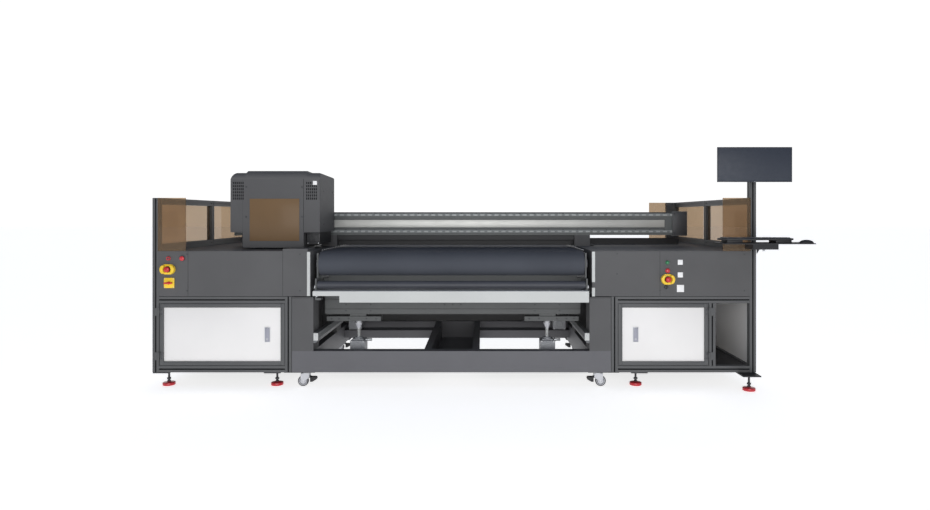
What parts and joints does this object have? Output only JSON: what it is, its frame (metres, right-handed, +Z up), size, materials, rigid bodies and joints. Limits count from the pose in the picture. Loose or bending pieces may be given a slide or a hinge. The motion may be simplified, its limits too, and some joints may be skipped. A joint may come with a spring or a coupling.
{
  "type": "flatbed uv printer",
  "caption": "Wide hybrid UV printer: equipment cabinets either side of a lifting belt conveyor, gantry beam with a sliding print carriage, monitor and keyboard tray.",
  "frame": {"origin": "on the floor below the middle of the whole machine's bounding box", "axes": "+X along the gantry beam towards the monitor, +Y from the operator's side to the rear, +Z up"},
  "size_m": [4.471, 2.105, 1.682],
  "materials": {
    "grey_paint": "satin",
    "frame_paint": "satin",
    "profile_paint": "satin",
    "white_sheet": "satin",
    "amber_acrylic": "gloss",
    "light_metal": "satin",
    "steel": "satin",
    "dark_metal": "satin",
    "dark_aluminium": "satin",
    "belt_rubber": "satin",
    "black_plastic": "matte",
    "red_plastic": "gloss",
    "green_plastic": "gloss",
    "yellow_plastic": "gloss",
    "white_plastic": "gloss",
    "foot_paint": "gloss",
    "wheel_tyre": "matte",
    "monitor_plastic": "gloss"
  },
  "bodies": {
    "frame": {"base_frame": "frame_paint", "left_cabinet_frame": "profile_paint", "right_cabinet_frame": "profile_paint", "cabinet_shells": "grey_paint", "column_covers": "grey_paint", "side_screen_frames": "profile_paint", "side_screen_panels": "amber_acrylic", "cabinet_panels": "white_sheet", "edge_strips": "light_metal", "door_hinges": "dark_metal", "gantry_beam": "dark_aluminium", "gantry_rails": "light_metal", "gantry_pillars": "grey_paint", "cable_trough": "dark_metal", "jack_housings": "steel", "roll_arms": "light_metal", "control_bezels": "yellow_plastic", "label_plates": "white_plastic", "levelling_feet": "foot_paint", "mounting_plates": "dark_metal", "workstation_arms": "dark_metal"},
    "carriage": {"carriage_cover": "grey_paint", "carriage_chassis": "light_metal", "carriage_window": "amber_acrylic", "print_heads": "black_plastic"},
    "conveyor": {"conveyor_frame": "dark_aluminium", "platen": "dark_aluminium", "conveyor_belt": "belt_rubber", "front_bar": "light_metal", "jack_screws": "steel"},
    "front_drum": {"front_drum": "dark_aluminium"},
    "rear_drum": {"rear_drum": "dark_aluminium"},
    "lower_roller": {"lower_roller": "dark_aluminium"},
    "left_door": {"left_door": "white_sheet"},
    "right_door": {"right_door": "white_sheet"},
    "left_latch": {"left_latch": "steel"},
    "right_latch": {"right_latch": "steel"},
    "left_stop_button": {"left_stop_button": "red_plastic"},
    "right_stop_button": {"right_stop_button": "red_plastic"},
    "ring_button": {"ring_button": "red_plastic"},
    "red_button": {"red_button": "red_plastic"},
    "green_button": {"green_button": "green_plastic"},
    "reset_button": {"reset_button": "red_plastic"},
    "key_switch": {"key_switch": "black_plastic"},
    "isolator_handle": {"isolator_handle": "red_plastic"},
    "monitor": {"monitor": "monitor_plastic"},
    "keyboard_tray": {"keyboard_tray": "dark_aluminium", "keyboard_and_mouse": "black_plastic"},
    "front_left_fork": {"front_left_fork": "steel"},
    "front_left_wheel": {"front_left_wheel": "wheel_tyre"},
    "front_left_pedal": {"front_left_pedal": "black_plastic"},
    "front_right_fork": {"front_right_fork": "steel"},
    "front_right_wheel": {"front_right_wheel": "wheel_tyre"},
    "front_right_pedal": {"front_right_pedal": "black_plastic"},
    "rear_left_fork": {"rear_left_fork": "steel"},
    "rear_left_wheel": {"rear_left_wheel": "wheel_tyre"},
    "rear_left_pedal": {"rear_left_pedal": "black_plastic"},
    "rear_right_fork": {"rear_right_fork": "steel"},
    "rear_right_wheel": {"rear_right_wheel": "wheel_tyre"},
    "rear_right_pedal": {"rear_right_pedal": "black_plastic"}
  },
  "joints": [
    {"name": "carriage_slide", "type": "slide", "parent": "frame", "child": "carriage", "axis": [1, 0, 0], "range_m": [0, 2.6]},
    {"name": "conveyor_lift", "type": "slide", "parent": "frame", "child": "conveyor", "axis": [0, 0, -1], "range_m": [0, 0.05]},
    {"name": "front_drum_spin", "type": "hinge", "parent": "conveyor", "child": "front_drum", "pos_m": [-0.1425, -0.6045, 0.873], "axis": [1, 0, 0], "continuous": true},
    {"name": "rear_drum_spin", "type": "hinge", "parent": "conveyor", "child": "rear_drum", "pos_m": [-0.1425, 0.4965, 0.873], "axis": [1, 0, 0], "continuous": true},
    {"name": "lower_roller_spin", "type": "hinge", "parent": "conveyor", "child": "lower_roller", "pos_m": [-0.1425, -0.6855, 0.727], "axis": [1, 0, 0], "continuous": true},
    {"name": "left_door_swing", "type": "hinge", "parent": "frame", "child": "left_door", "pos_m": [-2.189, -0.714, 0.38], "axis": [0, 0, -1], "range_deg": [0, 100]},
    {"name": "right_door_swing", "type": "hinge", "parent": "frame", "child": "right_door", "pos_m": [1.66, -0.714, 0.38], "axis": [0, 0, 1], "range_deg": [0, 100]},
    {"name": "left_latch_lift", "type": "hinge", "parent": "left_door", "child": "left_latch", "pos_m": [-1.4325, -0.7045, 0.4265], "axis": [-1, 0, 0], "range_deg": [0, 40], "stiffness_Nm_per_rad": 0.2},
    {"name": "right_latch_lift", "type": "hinge", "parent": "right_door", "child": "right_latch", "pos_m": [1.1485, -0.7045, 0.4265], "axis": [-1, 0, 0], "range_deg": [0, 40], "stiffness_Nm_per_rad": 0.2},
    {"name": "left_stop_press", "type": "slide", "parent": "frame", "child": "left_stop_button", "axis": [0, 1, 0], "range_m": [0, 0.005]},
    {"name": "right_stop_press", "type": "slide", "parent": "frame", "child": "right_stop_button", "axis": [0, 1, 0], "range_m": [0, 0.005]},
    {"name": "ring_press", "type": "slide", "parent": "frame", "child": "ring_button", "axis": [0, 1, 0], "range_m": [0, 0.003], "stiffness_N_per_m": 600},
    {"name": "red_press", "type": "slide", "parent": "frame", "child": "red_button", "axis": [0, 1, 0], "range_m": [0, 0.003], "stiffness_N_per_m": 600},
    {"name": "green_press", "type": "slide", "parent": "frame", "child": "green_button", "axis": [0, 1, 0], "range_m": [0, 0.003], "stiffness_N_per_m": 600},
    {"name": "reset_press", "type": "slide", "parent": "frame", "child": "reset_button", "axis": [0, 1, 0], "range_m": [0, 0.003], "stiffness_N_per_m": 600},
    {"name": "key_turn", "type": "hinge", "parent": "frame", "child": "key_switch", "pos_m": [1.3605, -0.7075, 0.715], "axis": [0, -1, 0], "range_deg": [0, 90]},
    {"name": "isolator_turn", "type": "hinge", "parent": "frame", "child": "isolator_handle", "pos_m": [-2.1175, -0.7075, 0.745], "axis": [0, -1, 0], "range_deg": [0, 90]},
    {"name": "front_left_swivel", "type": "hinge", "parent": "frame", "child": "front_left_fork", "pos_m": [-1.1745, -0.6325, 0.1], "axis": [0, 0, 1], "continuous": true},
    {"name": "front_left_wheel_spin", "type": "hinge", "parent": "front_left_fork", "child": "front_left_wheel", "pos_m": [-1.1995, -0.6325, 0.0415], "axis": [0, 1, 0], "continuous": true},
    {"name": "front_left_pedal_press", "type": "hinge", "parent": "front_left_fork", "child": "front_left_pedal", "pos_m": [-1.1565, -0.6325, 0.07], "axis": [0, 1, 0], "range_deg": [0, 15]},
    {"name": "front_right_swivel", "type": "hinge", "parent": "frame", "child": "front_right_fork", "pos_m": [0.8895, -0.6325, 0.1], "axis": [0, 0, 1], "continuous": true},
    {"name": "front_right_wheel_spin", "type": "hinge", "parent": "front_right_fork", "child": "front_right_wheel", "pos_m": [0.9145, -0.6325, 0.0415], "axis": [0, 1, 0], "continuous": true},
    {"name": "front_right_pedal_press", "type": "hinge", "parent": "front_right_fork", "child": "front_right_pedal", "pos_m": [0.8715, -0.6325, 0.07], "axis": [0, -1, 0], "range_deg": [0, 15]},
    {"name": "rear_left_swivel", "type": "hinge", "parent": "frame", "child": "rear_left_fork", "pos_m": [-1.1745, 0.5245, 0.1], "axis": [0, 0, 1], "continuous": true},
    {"name": "rear_left_wheel_spin", "type": "hinge", "parent": "rear_left_fork", "child": "rear_left_wheel", "pos_m": [-1.1995, 0.5245, 0.0415], "axis": [0, 1, 0], "continuous": true},
    {"name": "rear_left_pedal_press", "type": "hinge", "parent": "rear_left_fork", "child": "rear_left_pedal", "pos_m": [-1.1565, 0.5245, 0.07], "axis": [0, 1, 0], "range_deg": [0, 15]},
    {"name": "rear_right_swivel", "type": "hinge", "parent": "frame", "child": "rear_right_fork", "pos_m": [0.8895, 0.5245, 0.1], "axis": [0, 0, 1], "continuous": true},
    {"name": "rear_right_wheel_spin", "type": "hinge", "parent": "rear_right_fork", "child": "rear_right_wheel", "pos_m": [0.9145, 0.5245, 0.0415], "axis": [0, 1, 0], "continuous": true},
    {"name": "rear_right_pedal_press", "type": "hinge", "parent": "rear_right_fork", "child": "rear_right_pedal", "pos_m": [0.8715, 0.5245, 0.07], "axis": [0, -1, 0], "range_deg": [0, 15]},
    {"name": "monitor_tilt", "type": "hinge", "parent": "frame", "child": "monitor", "pos_m": [1.9255, -0.7475, 1.563], "axis": [1, 0, 0], "range_deg": [-15, 15]},
    {"name": "tray_swivel", "type": "hinge", "parent": "frame", "child": "keyboard_tray", "pos_m": [1.9975, -0.8125, 1.031], "axis": [0, 0, 1], "range_deg": [-15, 90]}
  ],
  "couplings": [
    {"joint": "rear_drum_spin", "follows": "front_drum_spin", "ratio": 1}
  ]
}
